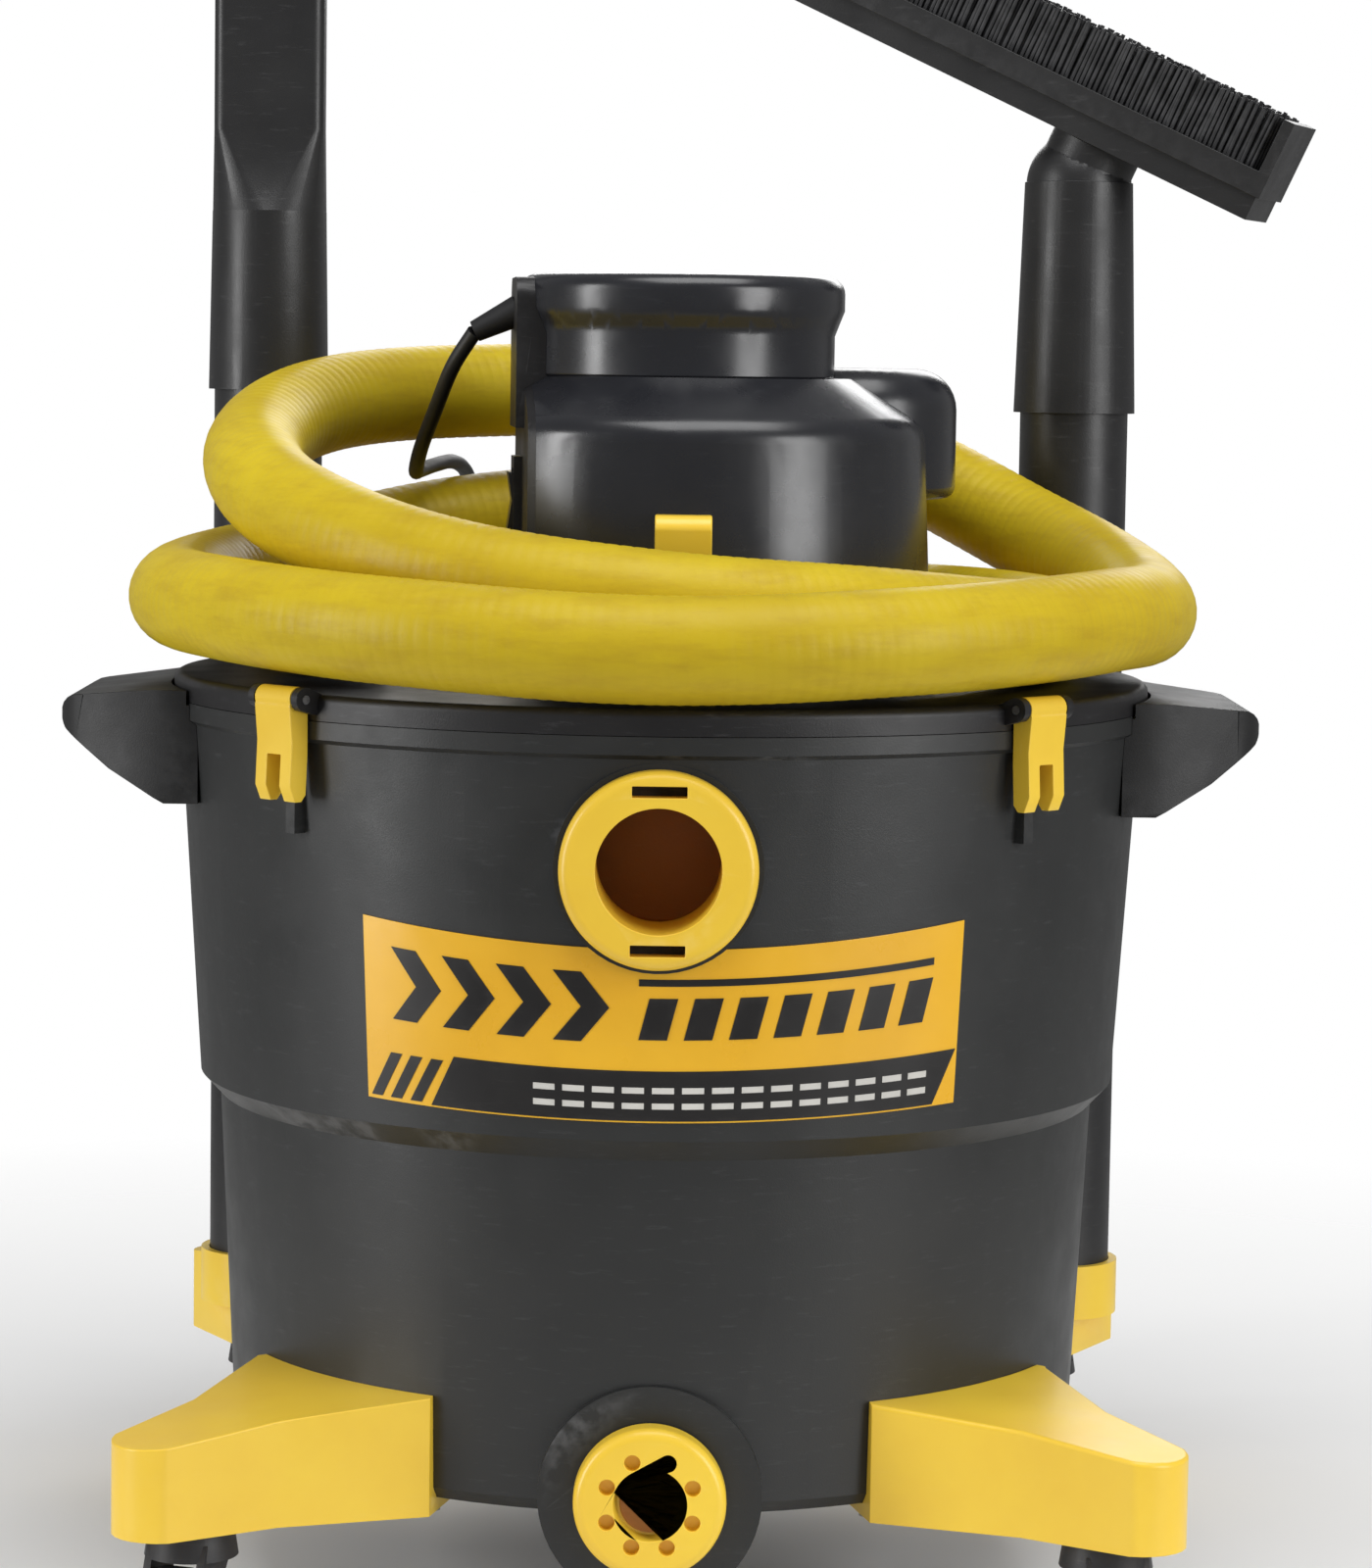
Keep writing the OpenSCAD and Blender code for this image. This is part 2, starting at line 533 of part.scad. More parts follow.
module strain_relief() color([0.05, 0.05, 0.05]) along(relief_from, relief_to) {
    translate([0, 0, 0.8]) cylinder(r = 6, h = 3.2);
    translate([0, 0, 1]) cylinder(r1 = 7.5, r2 = 5.2, h = norm(relief_to - relief_from) - 1);
}

module hose_clip() color([0.98, 0.80, 0.30]) difference() {
    translate([clip_x - 13, 0, 0]) rotate([90, 0, 90]) linear_extrude(26) polygon(concat(
        [[-105, 400], [-121, 400]], arc(-122, 436, 7, 180, 90, 6), [[-105, 443]]));
    head_base_shape(0.05);
    translate([clip_x - 8, -132, 395]) cube([16, 8, 26]);
}

module head_screws() color([0.6, 0.6, 0.62]) for (a = head_screw_angles) translate([head_x, 0, 0])
    rotate([0, 0, a]) translate([head_screw_r, 0, lid_z - lid_plate - 3]) {
        cylinder(r = 4.5, h = 3);
        cylinder(r = 2, h = 22);
    }

// Fan chamber on the lid with the motor's can above it.
module motor_housing() color([0.55, 0.56, 0.58]) translate([motor_x, 0, 0]) difference() {
    union() {
        translate([0, 0, lid_z + 0.2]) cylinder(r = 70, h = 28);
        translate([0, 0, 391]) cylinder(r = 55, h = 85);
        translate([0, 0, 476]) cylinder(r = 14, h = 10);
    }
    translate([0, 0, lid_z - 1]) cylinder(r = 66, h = 25);
    translate([0, 0, 395]) cylinder(r = 51, h = 77);
    translate([0, 0, lid_z]) cylinder(r = shaft_r + fit, h = 130);
    for (k = [0 : 5]) rotate([0, 0, 60 * k + 30]) translate([60, 0, 378]) cube([20, 18, 7]);
}

module motor_armature() color([0.6, 0.45, 0.3]) translate([motor_x, 0, 0]) {
    translate([0, 0, 365.5]) cylinder(r = shaft_r, h = 119);
    translate([0, 0, 405]) cylinder(r = 30, h = 45);
    translate([0, 0, 455]) cylinder(r = 14, h = 14);
}

module impeller() color([0.75, 0.76, 0.78]) translate([motor_x, 0, impeller_z]) difference() {
    union() {
        cylinder(r = 60, h = 1.5);
        translate([0, 0, 11]) cylinder(r = 60, h = 1.5);
        cylinder(r = 10, h = 12.5);
        for (k = [0 : 7]) rotate([0, 0, 45 * k]) translate([9, 2, 1]) rotate([0, 0, -14])
            cube([49, 1.5, 10.5]);
    }
    difference() {
        translate([0, 0, -1]) cylinder(r = 26, h = 3);
        translate([0, 0, -2]) cylinder(r = 10, h = 5);
    }
    translate([0, 0, -1]) cylinder(r = shaft_r, h = 20);
}

// Basket under the lid that carries the filter and holds the shut-off float.
module filter_cage() color([0.12, 0.12, 0.12]) difference() {
    union() {
        translate([0, 0, 225]) cylinder(r = 62, h = lid_z - lid_plate - 225);
        translate([0, 0, lid_z - lid_plate - 4]) cylinder(r = 88, h = 4);
    }
    translate([0, 0, 229]) cylinder(r = 58, h = 110);
    translate([motor_x, 0, 300]) cylinder(r = 30, h = 80);
    for (k = [0 : 3]) rotate([0, 0, 45 * k]) translate([-80, -15, 236]) cube([160, 30, 92]);
}

module float_ball() color([0.9, 0.9, 0.88]) translate([0, 0, float_z]) sphere(r = float_r);

pleats = 48;
module filter_media() color([0.93, 0.93, 0.90]) difference() {
    translate([0, 0, filter_bottom + 8]) linear_extrude(filter_top - filter_bottom - 8)
        polygon([for (k = [0 : 2 * pleats - 1]) let (r = k % 2 == 0 ? filter_r : filter_r - 9)
            [r * cos(180 * k / pleats), r * sin(180 * k / pleats)]]);
    translate([0, 0, filter_bottom]) cylinder(r = filter_in_r, h = 200);
}

module filter_end_cap() color([0.1, 0.1, 0.1]) {
    translate([0, 0, filter_bottom]) cylinder(r = filter_r + 2, h = 8);
    translate([-45, -3, filter_bottom - 14]) cube([90, 6, 15]);
}

module wand(x) color([0.10, 0.10, 0.11]) translate([x, wand_y, 0]) difference() {
    translate([0, 0, wand_foot_z]) cylinder(r = wand_r, h = wand_top - wand_foot_z);
    translate([0, 0, wand_foot_z - 1]) cylinder(r = wand_r - wand_wall, h = wand_top);
}
module wand_left() wand(-wand_left_x);
module wand_right() wand(wand_right_x);

function blade_outline(w, d, r) = concat(arc(w / 2 - r, d / 2 - r, r, 0, 90, 4),
    arc(r - w / 2, d / 2 - r, r, 90, 180, 4), arc(r - w / 2, r - d / 2, r, 180, 270, 4),
    arc(w / 2 - r, r - d / 2, r, 270, 360, 4));

// Crevice tool: a socket on the wand that flattens into a long blade.
module crevice_tool() color([0.11, 0.11, 0.12]) translate([-wand_left_x, wand_y, 0]) difference() {
    union() {
        translate([0, 0, socket_z]) cylinder(r1 = 31, r2 = 29.5, h = 92);
        hull() {
            translate([0, 0, socket_z + 91]) cylinder(r = 29.5, h = 1, $fn = 32);
            translate([0, 0, 627]) linear_extrude(1) polygon(blade_outline(blade_w, 22, 6));
        }
        translate([0, 0, 627]) linear_extrude(crevice_top - 627)
            polygon(blade_outline(blade_w, 22, 6));
    }
    translate([0, 0, socket_z - 1]) cylinder(r = wand_r + fit, h = wand_top - socket_z + 1.2);
    translate([0, 0, wand_top]) cylinder(r = wand_r - wand_wall, h = socket_z + 91 - wand_top);
    hull() {
        translate([0, 0, socket_z + 89]) cylinder(r = wand_r - wand_wall, h = 1, $fn = 32);
        translate([0, 0, 626]) linear_extrude(2) polygon(blade_outline(blade_w - 6, 16, 4));
    }
    translate([0, 0, 626]) linear_extrude(300) polygon(blade_outline(blade_w - 6, 16, 4));
    translate([0, 0, crevice_top - 22]) rotate([30, 0, 0]) translate([-50, -60, 8]) cube([100, 120, 60]);
}

// Places children on the tilted axis above the bend of the floor tool's neck.
module at_floor_tool() translate([wand_right_x, wand_y, elbow_z]) rotate([0, neck_tilt, -neck_yaw])
    children();
neck_r = 24;
spigot_r = 21;

module floor_tool_neck() color([0.11, 0.11, 0.12]) difference() {
    union() {
        translate([wand_right_x, wand_y, neck_z]) cylinder(r1 = 31.5, r2 = 28, h = elbow_z - neck_z);
        translate([wand_right_x, wand_y, elbow_z - 1]) sphere(r = 27.2);
        at_floor_tool() cylinder(r = neck_r, h = housing_z - gap);
        at_floor_tool() cylinder(r = spigot_r, h = housing_z + 4);
    }
    translate([wand_right_x, wand_y, neck_z - 1]) cylinder(r = wand_r + fit, h = wand_top - neck_z + 1.2);
    translate([wand_right_x, wand_y, wand_top]) cylinder(r = 18, h = elbow_z - wand_top);
    translate([wand_right_x, wand_y, elbow_z]) sphere(r = 19.5);
    at_floor_tool() cylinder(r = spigot_r - 3.5, h = 60);
}

module floor_tool_housing() color([0.09, 0.09, 0.10]) at_floor_tool() difference() {
    translate([tool_shift, 0, 0]) difference() {
        union() {
            translate([-floor_tool_l / 2 + 2, -housing_w / 2 + 2, housing_z])
                cube([floor_tool_l - 4, housing_w - 4, housing_h]);
            translate([-floor_tool_l / 2, -housing_w / 2, housing_z + 12.5])
                cube([floor_tool_l, housing_w, housing_h - 12.5]);
            for (s = [-1, 1])
                translate([s * (floor_tool_l / 2 - 3) - 3, -housing_w / 2, housing_z + 12.5])
                    cube([6, housing_w, bristle_end - housing_z - 14.5]);
        }
        translate([-floor_tool_l / 2 + 6, -housing_w / 2 + 5, housing_z + 4])
            cube([floor_tool_l - 12, housing_w - 10, 80]);
    }
    translate([0, 0, housing_z - 1]) cylinder(r = spigot_r + fit, h = 10);
}

module brush_strips() color([0.05, 0.05, 0.05]) at_floor_tool() for (s = [-1, 1])
    translate([tool_shift - floor_tool_l / 2 + 6.2, s * 19 - 3.5, housing_z + 4])
        cube([floor_tool_l - 12.4, 7, bristle_end - housing_z - 4]);

module hose() color([0.80, 0.71, 0.22])
    tube([for (s = [0 : hose_ring : hose_span]) hose_point(s)], hose_d / 2, 12);

module cuff(from, towards, r, length) along(from, from + towards) difference() {
    union() {
        cylinder(r = r, h = length * 0.6);
        cylinder(r = r - 2.5, h = length);
    }
    translate([0, 0, 2]) cylinder(r = r - 5, h = length);
}
hose_start = hose_point(0);
hose_end = hose_point(hose_span);
module hose_cuff_machine() color([0.1, 0.1, 0.1])
    cuff(hose_start, hose_start - hose_point(hose_ring), 27.4, 68);
module hose_cuff_tool() color([0.1, 0.1, 0.1])
    cuff(hose_end, hose_end - hose_point(hose_span - hose_ring), 27, 60);

module power_cord() color([0.05, 0.05, 0.05]) {
    tube(cord_route, cord_d / 2, 8);
    tube(tail_route, cord_d / 2, 8);
}

coil_in_r = 4 * cord_d;
coil_out_r = coil_in_r + coil_layers * cord_d;
module cord_coil() color([0.05, 0.05, 0.05]) translate(coil_at) rotate_extrude()
    translate([coil_in_r, 0]) square([coil_out_r - coil_in_r, coil_layers * cord_d]);

// Three-pin plug lying on the floor.
module power_plug() color([0.06, 0.06, 0.06]) translate(plug_at) rotate([0, 0, -22]) {
    difference() {
        rotate([0, 90, 0]) cylinder(r1 = 5, r2 = 7, h = 22);
        rotate([0, 90, 0]) translate([0, 0, -1]) cylinder(r = 3, h = 1);
    }
    translate([20, -13, -8]) cube([22, 26, 20]);
    for (y = [-6.35, 6.35]) translate([41, y - 0.8, -1]) cube([17, 1.6, 6.4]);
    translate([41, 0, 8]) rotate([0, 90, 0]) cylinder(r = 2.4, h = 19);
}

drum();
handle_left();
handle_right();
drum_screws();
inlet_ring();
inlet_gasket();
inlet_deflector();
label_panel();
drain_gasket();
drain_cap();
foot_front_left();
foot_front_right();
foot_rear_left();
foot_rear_right();
caster_fork_front_left();
caster_fork_front_right();
caster_fork_rear_left();
caster_fork_rear_right();
caster_axle_front_left();
caster_axle_front_right();
caster_axle_rear_left();
caster_axle_rear_right();
caster_wheel_front_left();
caster_wheel_front_right();
caster_wheel_rear_left();
caster_wheel_rear_right();
lid();
lid_gasket();
latch_pins();
latch_front_left();
latch_front_right();
latch_rear_left();
latch_rear_right();
head_base();
head_cap();
exhaust_cowl();
switch_panel();
rocker_switch();
strain_relief();
hose_clip();
head_screws();
motor_housing();
motor_armature();
impeller();
filter_cage();
float_ball();
filter_media();
filter_end_cap();
wand_left();
wand_right();
crevice_tool();
floor_tool_neck();
floor_tool_housing();
brush_strips();
hose();
hose_cuff_machine();
hose_cuff_tool();
power_cord();
cord_coil();
power_plug();
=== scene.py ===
"""Shop vacuum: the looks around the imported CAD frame, in metres. +Z is up and -Y is the front."""
import json
import math
import random

import bmesh
import bpy
import numpy as np
from mathutils import Matrix, Vector


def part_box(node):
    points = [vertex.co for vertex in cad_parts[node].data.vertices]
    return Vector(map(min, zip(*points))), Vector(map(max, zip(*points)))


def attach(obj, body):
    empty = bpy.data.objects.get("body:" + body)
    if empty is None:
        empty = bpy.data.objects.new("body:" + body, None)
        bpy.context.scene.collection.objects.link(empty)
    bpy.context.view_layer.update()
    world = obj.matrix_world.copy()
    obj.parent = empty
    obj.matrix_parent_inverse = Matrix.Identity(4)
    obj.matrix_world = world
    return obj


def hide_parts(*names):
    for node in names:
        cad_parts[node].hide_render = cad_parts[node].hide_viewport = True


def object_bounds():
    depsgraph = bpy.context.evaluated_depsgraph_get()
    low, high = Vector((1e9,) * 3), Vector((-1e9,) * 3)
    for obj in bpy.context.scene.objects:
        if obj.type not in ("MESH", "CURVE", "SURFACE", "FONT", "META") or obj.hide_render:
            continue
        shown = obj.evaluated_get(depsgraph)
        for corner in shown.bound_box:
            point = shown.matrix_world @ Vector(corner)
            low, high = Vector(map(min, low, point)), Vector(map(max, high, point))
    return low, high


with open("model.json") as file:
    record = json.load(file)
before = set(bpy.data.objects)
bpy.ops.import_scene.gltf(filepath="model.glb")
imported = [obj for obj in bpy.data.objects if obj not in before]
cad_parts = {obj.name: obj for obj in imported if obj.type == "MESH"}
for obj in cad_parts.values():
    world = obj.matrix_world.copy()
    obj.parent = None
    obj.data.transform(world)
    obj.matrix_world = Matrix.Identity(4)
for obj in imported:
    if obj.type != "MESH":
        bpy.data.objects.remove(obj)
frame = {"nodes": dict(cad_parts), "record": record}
CAD_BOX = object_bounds()
NODES = frame["nodes"]
BODY_OF = {n: body for body, members in frame["record"]["behaviour"]["bodies"].items() for n in members}
MM = 0.001
FLOOR_Z = CAD_BOX[0].z


# ---------------------------------------------------------------- camera
CAMERA_PLACE = (0.0008, -2.2405, 0.5184)
CAMERA_DOWN = 5.334                      # degrees below level
CAMERA_ROLL = -0.85
CAMERA_YAW = -0.22
LENS = 107.1                             # mm, on a sensor 36 mm wide


def make_camera():
    """Long lens a little above the object, looking slightly down."""
    data = bpy.data.cameras.new("camera")
    data.lens = LENS
    data.sensor_width = 36
    data.clip_end = 50
    camera = bpy.data.objects.new("camera", data)
    bpy.context.scene.collection.objects.link(camera)
    camera.location = CAMERA_PLACE
    camera.rotation_euler = [math.radians(a) for a in (90 - CAMERA_DOWN, CAMERA_ROLL, CAMERA_YAW)]
    bpy.context.scene.camera = camera


make_camera()


# ---------------------------------------------------------------- materials
class Shader:
    """A Principled material whose nodes are added one by one."""

    def __init__(self, name):
        self.material = bpy.data.materials.new(name)
        self.material.use_nodes = True
        self.tree = self.material.node_tree
        self.bsdf = self.tree.nodes["Principled BSDF"]
        self.place = self.add("ShaderNodeTexCoord").outputs["Object"]

    def add(self, kind, inputs=None, **settings):
        node = self.tree.nodes.new(kind)
        for key, value in settings.items():
            setattr(node, key, value)
        for key, value in (inputs or {}).items():
            if isinstance(value, bpy.types.NodeSocket):
                self.tree.links.new(value, node.inputs[key])
            else:
                node.inputs[key].default_value = value
        return node

    def noise(self, scale, detail=4, stretch=(1, 1, 1), rough=0.55):
        place = self.add("ShaderNodeMapping", {"Vector": self.place, "Scale": stretch}).outputs[0]
        return self.add("ShaderNodeTexNoise", {"Vector": place, "Scale": scale, "Detail": detail,
                                               "Roughness": rough}).outputs["Fac"]

    def ramp(self, value, low, high, out_low=0.0, out_high=1.0):
        return self.add("ShaderNodeMapRange", {"Value": value, "From Min": low, "From Max": high,
                                               "To Min": out_low, "To Max": out_high}).outputs[0]

    def times(self, a, b):
        return self.add("ShaderNodeMath", {0: a, 1: b}, operation="MULTIPLY").outputs[0]

    def mix(self, share, a, b):
        return self.add("ShaderNodeMix", {0: share, 6: a, 7: b}, data_type="RGBA").outputs[2]

    def bump(self, height, distance, strength=1.0, under=None):
        inputs = {"Height": height, "Distance": distance, "Strength": strength}
        if under is not None:
            inputs["Normal"] = under
        return self.add("ShaderNodeBump", inputs).outputs[0]

    def set(self, **values):
        for key, value in values.items():
            socket = self.bsdf.inputs[key.replace("_", " ")]
            if isinstance(value, bpy.types.NodeSocket):
                self.tree.links.new(value, socket)
            else:
                socket.default_value = value


def linear(r, g, b):
    """Linear colour with alpha from display values of 0 to 255."""
    shares = [c / 255 for c in (r, g, b)]
    return tuple(((c + 0.055) / 1.055) ** 2.4 if c > 0.04 else c / 12.92 for c in shares) + (1,)


def shade(colour, factor):
    return tuple(min(1.0, c * factor) for c in colour[:3]) + (1,)


def moulded(name, colour, roughness, grain=900, depth=0.00006, wear=None, scuffs=0.25, coat=0.0):
    """Moulded plastic or rubber: mottled colour, textured skin, fine scuffs and paler worn edges."""
    s = Shader(name)
    mottle = s.ramp(s.noise(9, 5), 0.3, 0.7)
    body = s.mix(mottle, shade(colour, 0.9), shade(colour, 1.1))
    lines = s.ramp(s.noise(60, 6, (1, 1, 7), 0.7), 0.58, 0.75, 0, scuffs)
    body = s.mix(lines, body, wear or shade(colour, 1.6))
    edge = s.ramp(s.add("ShaderNodeNewGeometry").outputs["Pointiness"], 0.53, 0.62, 0, 0.35)
    body = s.mix(s.times(edge, s.ramp(s.noise(120, 3), 0.4, 0.62)), body, wear or shade(colour, 1.8))
    rough = s.ramp(s.noise(35, 5), 0.3, 0.7, roughness - 0.05, roughness + 0.07)
    skin = s.bump(s.noise(grain, 2), depth)
    waves = s.bump(s.noise(14, 2), 0.0006, 0.35, skin)
    s.set(Base_Color=body, Roughness=rough, Normal=waves, Coat_Weight=coat, Coat_Roughness=0.2)
    return s.material


def metal(name, colour, roughness, grain=(1, 1, 30)):
    """Turned or rolled metal with a brushed grain and a few darker stains."""
    s = Shader(name)
    stains = s.ramp(s.noise(22, 5), 0.35, 0.7)
    body = s.mix(stains, colour, shade(colour, 0.75))
    lines = s.noise(260, 3, grain)
    rough = s.ramp(lines, 0.3, 0.7, roughness - 0.08, roughness + 0.1)
    s.set(Base_Color=body, Metallic=1.0, Roughness=rough, Normal=s.bump(lines, 0.00003))
    return s.material


CHARCOAL = linear(39, 40, 40)
YELLOW = linear(255, 208, 62)

DRUM = moulded("drum_plastic", CHARCOAL, 0.42, grain=1300, depth=0.00005, wear=linear(120, 121, 124),
               scuffs=0.12)
HANDLE = moulded("handle_plastic", linear(19, 19, 20), 0.5, grain=1100, wear=linear(80, 80, 82),
                 scuffs=0.15)
LID = moulded("lid_plastic", linear(22, 21, 23), 0.42, grain=1200, wear=linear(100, 101, 104))
HEAD = moulded("head_plastic", linear(28, 29, 34), 0.27, grain=1500, depth=0.00002,
               wear=linear(100, 102, 110), scuffs=0.08, coat=0.3)
TOOL = moulded("tool_plastic", linear(34, 34, 35), 0.38, grain=1200, wear=linear(110, 110, 112), scuffs=0.2)
SUNNY = moulded("yellow_plastic", YELLOW, 0.34, grain=1400, depth=0.00003, wear=linear(255, 222, 120),
                scuffs=0.1, coat=0.15)
RUBBER = moulded("seal_rubber", linear(24, 24, 25), 0.7, grain=700, depth=0.0001, wear=linear(60, 60, 62))
INNER = moulded("inner_plastic", linear(58, 58, 60), 0.55, wear=linear(110, 110, 112))
CASTER = moulded("caster_plastic", linear(40, 40, 42), 0.5, wear=linear(110, 110, 112))
TYRE = moulded("wheel_rubber", linear(30, 30, 31), 0.65, grain=600, depth=0.00012, wear=linear(95, 93, 90),
               scuffs=0.5)
ROCKER = moulded("rocker_plastic", linear(30, 30, 32), 0.3, wear=linear(80, 80, 84), coat=0.2)
CORD = moulded("cord_rubber", linear(26, 26, 28), 0.5, grain=800, wear=linear(70, 70, 72))
CUFF = moulded("cuff_plastic", linear(38, 38, 40), 0.45, grain=1000, wear=linear(100, 100, 102))
PAPER = moulded("filter_paper", linear(236, 234, 225), 0.9, grain=500, depth=0.0002,
                wear=linear(200, 194, 180), scuffs=0.3)
FLOAT = moulded("float_plastic", linear(232, 230, 222), 0.4, wear=linear(205, 200, 190))
BRISTLE = moulded("bristle", linear(30, 30, 32), 0.55, grain=2000, wear=linear(80, 80, 82))
INK = moulded("label_ink", linear(26, 24, 24), 0.35, grain=1500, depth=0.00002, wear=linear(60, 58, 56))
PALE = moulded("label_pale", linear(214, 212, 206), 0.4, grain=1500, depth=0.00002,
               wear=linear(180, 178, 172))
FILM = moulded("label_film", linear(250, 188, 36), 0.3, grain=1500, depth=0.00002,
               wear=linear(255, 205, 110), scuffs=0.08, coat=0.3)
STEEL = metal("axle_steel", linear(190, 191, 194), 0.3)
SCREW = metal("screw_steel", linear(175, 176, 180), 0.35)
MOTOR = metal("motor_steel", linear(165, 166, 170), 0.4)
COPPER = metal("armature_copper", linear(196, 122, 72), 0.35)
ALLOY = metal("impeller_aluminium", linear(205, 206, 208), 0.3)
# painted shade: a darker orange standing for the shade in the drain cap's recess
RECESS_SHADE = moulded("painted_recess_shade", linear(190, 118, 34), 0.45, grain=1400, wear=linear(220, 160, 80))
BROWN = moulded("deflector_plastic", linear(176, 112, 40), 0.5, wear=linear(200, 150, 90))


def hose_skin():
    """Translucent olive-yellow hose, slightly glossy: painted shade darkens the grooves, and darker painted
    shading bands streak it along its length.
    """
    s = Shader("hose_plastic")
    patch = s.ramp(s.noise(7, 4), 0.32, 0.68)
    body = s.mix(patch, linear(196, 168, 30), linear(216, 190, 36))
    # painted shading bands: stretched noise darkens the hose toward brown in streaks along its length
    painted_shade_streak = s.ramp(s.noise(34, 5, (1, 1, 5), 0.65), 0.45, 0.72, 0, 0.35)
    body = s.mix(painted_shade_streak, body, linear(170, 134, 36))
    # painted shade: concave places between the ribs are mixed toward a darker brown
    painted_groove_shade = s.ramp(s.add("ShaderNodeNewGeometry").outputs["Pointiness"], 0.5, 0.46, 0, 0.5)
    body = s.mix(painted_groove_shade, body, linear(140, 110, 32))
    s.set(Base_Color=body, Roughness=s.ramp(s.noise(50, 4), 0.3, 0.7, 0.36, 0.5),
          Normal=s.bump(s.noise(500, 3), 0.0001), Specular_IOR_Level=0.22, Subsurface_Weight=0.1,
          Subsurface_Scale=0.006, Subsurface_Radius=(1.0, 0.8, 0.2))
    return s.material


HOSE = hose_skin()


# ---------------------------------------------------------------- mesh helpers
def add_piece(name, mesh, material, body, *replaced):
    """Links a finished mesh as a piece that rides on a body and stands for the replaced nodes."""
    piece = bpy.data.objects.new(name, mesh)
    bpy.context.scene.collection.objects.link(piece)
    mesh.materials.clear()
    mesh.materials.append(material)
    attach(piece, body)
    if replaced:
        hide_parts(*replaced)
    return piece


def soften(bm, sharp_degrees=32):
    """Smooth faces with hard edges only where the surface really turns."""
    limit = math.radians(sharp_degrees)
    for face in bm.faces:
        face.smooth = True
    for edge in bm.edges:
        edge.smooth = len(edge.link_faces) == 2 and edge.calc_face_angle(0) < limit


def mesh_of(bm, name, sharp_degrees=32):
    bmesh.ops.recalc_face_normals(bm, faces=bm.faces)
    soften(bm, sharp_degrees)
    mesh = bpy.data.meshes.new(name)
    bm.to_mesh(mesh)
    bm.free()
    return mesh


def skin_rings(bm, rings):
    """Quads between rings of equally many points, closed at both ends."""
    made = [[bm.verts.new(p) for p in ring] for ring in rings]
    count = len(made[0])
    for low, high in zip(made, made[1:]):
        for k in range(count):
            bm.faces.new((low[k], low[(k + 1) % count], high[(k + 1) % count], high[k]))
    bm.faces.new(list(reversed(made[0])))
    bm.faces.new(made[-1])


def unit(v):
    return v / np.linalg.norm(v)


def sweep(bm, path, radius, sides):
    """Tube along path; radius depends on the length so far and the place round the tube, from 0 to 1."""
    path = np.asarray(path, float)
    tangents = np.gradient(path, axis=0)
    tangents /= np.linalg.norm(tangents, axis=1)[:, None]
    length = np.concatenate([[0], np.cumsum(np.linalg.norm(np.diff(path, axis=0), axis=1))])
    side = np.array([1.0, 0, 0]) if abs(tangents[0][2]) > 0.9 else np.array([0, 0, 1.0])
    rings = []
    for point, tangent, far in zip(path, tangents, length):
        side = unit(side - (side @ tangent) * tangent)
        other = np.cross(tangent, side)
        rings.append([point + radius(far, k / sides) * (math.cos(2 * math.pi * k / sides) * side
                      + math.sin(2 * math.pi * k / sides) * other) for k in range(sides)])
    skin_rings(bm, rings)


def catmull(points, steps):
    """Smooth curve through points, with that many steps between neighbours."""
    p = np.asarray([2 * np.array(points[0]) - np.array(points[1]), *points,
                    2 * np.array(points[-1]) - np.array(points[-2])], float)
    out = []
    for a, b, c, d in zip(p, p[1:], p[2:], p[3:]):
        for t in np.arange(steps) / steps:
            out.append(0.5 * (2 * b + (c - a) * t + (2 * a - 5 * b + 4 * c - d) * t * t
                              + (3 * b - a - 3 * c + d) * t ** 3))
    return np.array([*out, p[-2]])


def evenly(path, step):
    """The same line with points a step apart."""
    path = np.asarray(path, float)
    length = np.concatenate([[0], np.cumsum(np.linalg.norm(np.diff(path, axis=0), axis=1))])
    at = np.linspace(0, length[-1], max(2, round(length[-1] / step)) + 1)
    return np.column_stack([np.interp(at, length, path[:, k]) for k in range(3)])


# ---------------------------------------------------------------- hose
# The hose's route, one row for each 30 degrees clockwise from the left side: radius and height.
HOSE_KEYS = [(0.160, 0.3915), (0.178, 0.3885), (0.185, 0.3877), (0.185, 0.3877), (0.185, 0.3877),
             (0.184, 0.3877), (0.184, 0.388), (0.1835, 0.391), (0.183, 0.399), (0.186, 0.406),
             (0.188, 0.418), (0.192, 0.440), (0.197, 0.465), (0.199, 0.487), (0.199, 0.495),
             (0.200, 0.493), (0.205, 0.468), (0.222, 0.424), (0.231, 0.399), (0.231, 0.397),
             (0.231, 0.3925), (0.231, 0.3885), (0.231, 0.393), (0.231, 0.3975), (0.231, 0.399),
             (0.229, 0.407), (0.213, 0.427), (0.208, 0.436)]
KEY_DEGREES = 30
HOSE_SPAN = 804                          # degrees turned from end to end
HOSE_D = 0.0476
RIB_PITCH = 0.0065
RIB_DEPTH = 0.00022


def hose_point(turned):
    """Point on the hose's centre line after turning clockwise by that many degrees."""
    i = int(turned // KEY_DEGREES)
    t = turned / KEY_DEGREES - i
    a, b, c, d = (np.array(HOSE_KEYS[min(max(k, 0), len(HOSE_KEYS) - 1)]) for k in range(i - 1, i + 3))
    radius, height = 0.5 * (2 * b + (c - a) * t + (2 * a - 5 * b + 4 * c - d) * t * t
                            + (3 * b - a - 3 * c + d) * t ** 3)
    angle = math.radians(180 - turned)
    return (radius * math.cos(angle), radius * math.sin(angle), height)


def hose_radius(far, around):
    """Shallow helical grooves between rounded ribs."""
    turn = math.cos(2 * math.pi * (far / RIB_PITCH - around))
    return HOSE_D / 2 - RIB_DEPTH * max(0.0, turn) ** 2


hose_path = [hose_point(s) for s in np.arange(0, HOSE_SPAN + 0.1, 2)]
bm = bmesh.new()
sweep(bm, evenly(hose_path, 0.0013), hose_radius, 32)
hose = add_piece("hose_ribbed", mesh_of(bm, "hose_ribbed", 60), HOSE, "lid", "hose")

# ---------------------------------------------------------------- power cord
CORD_D = 0.0076
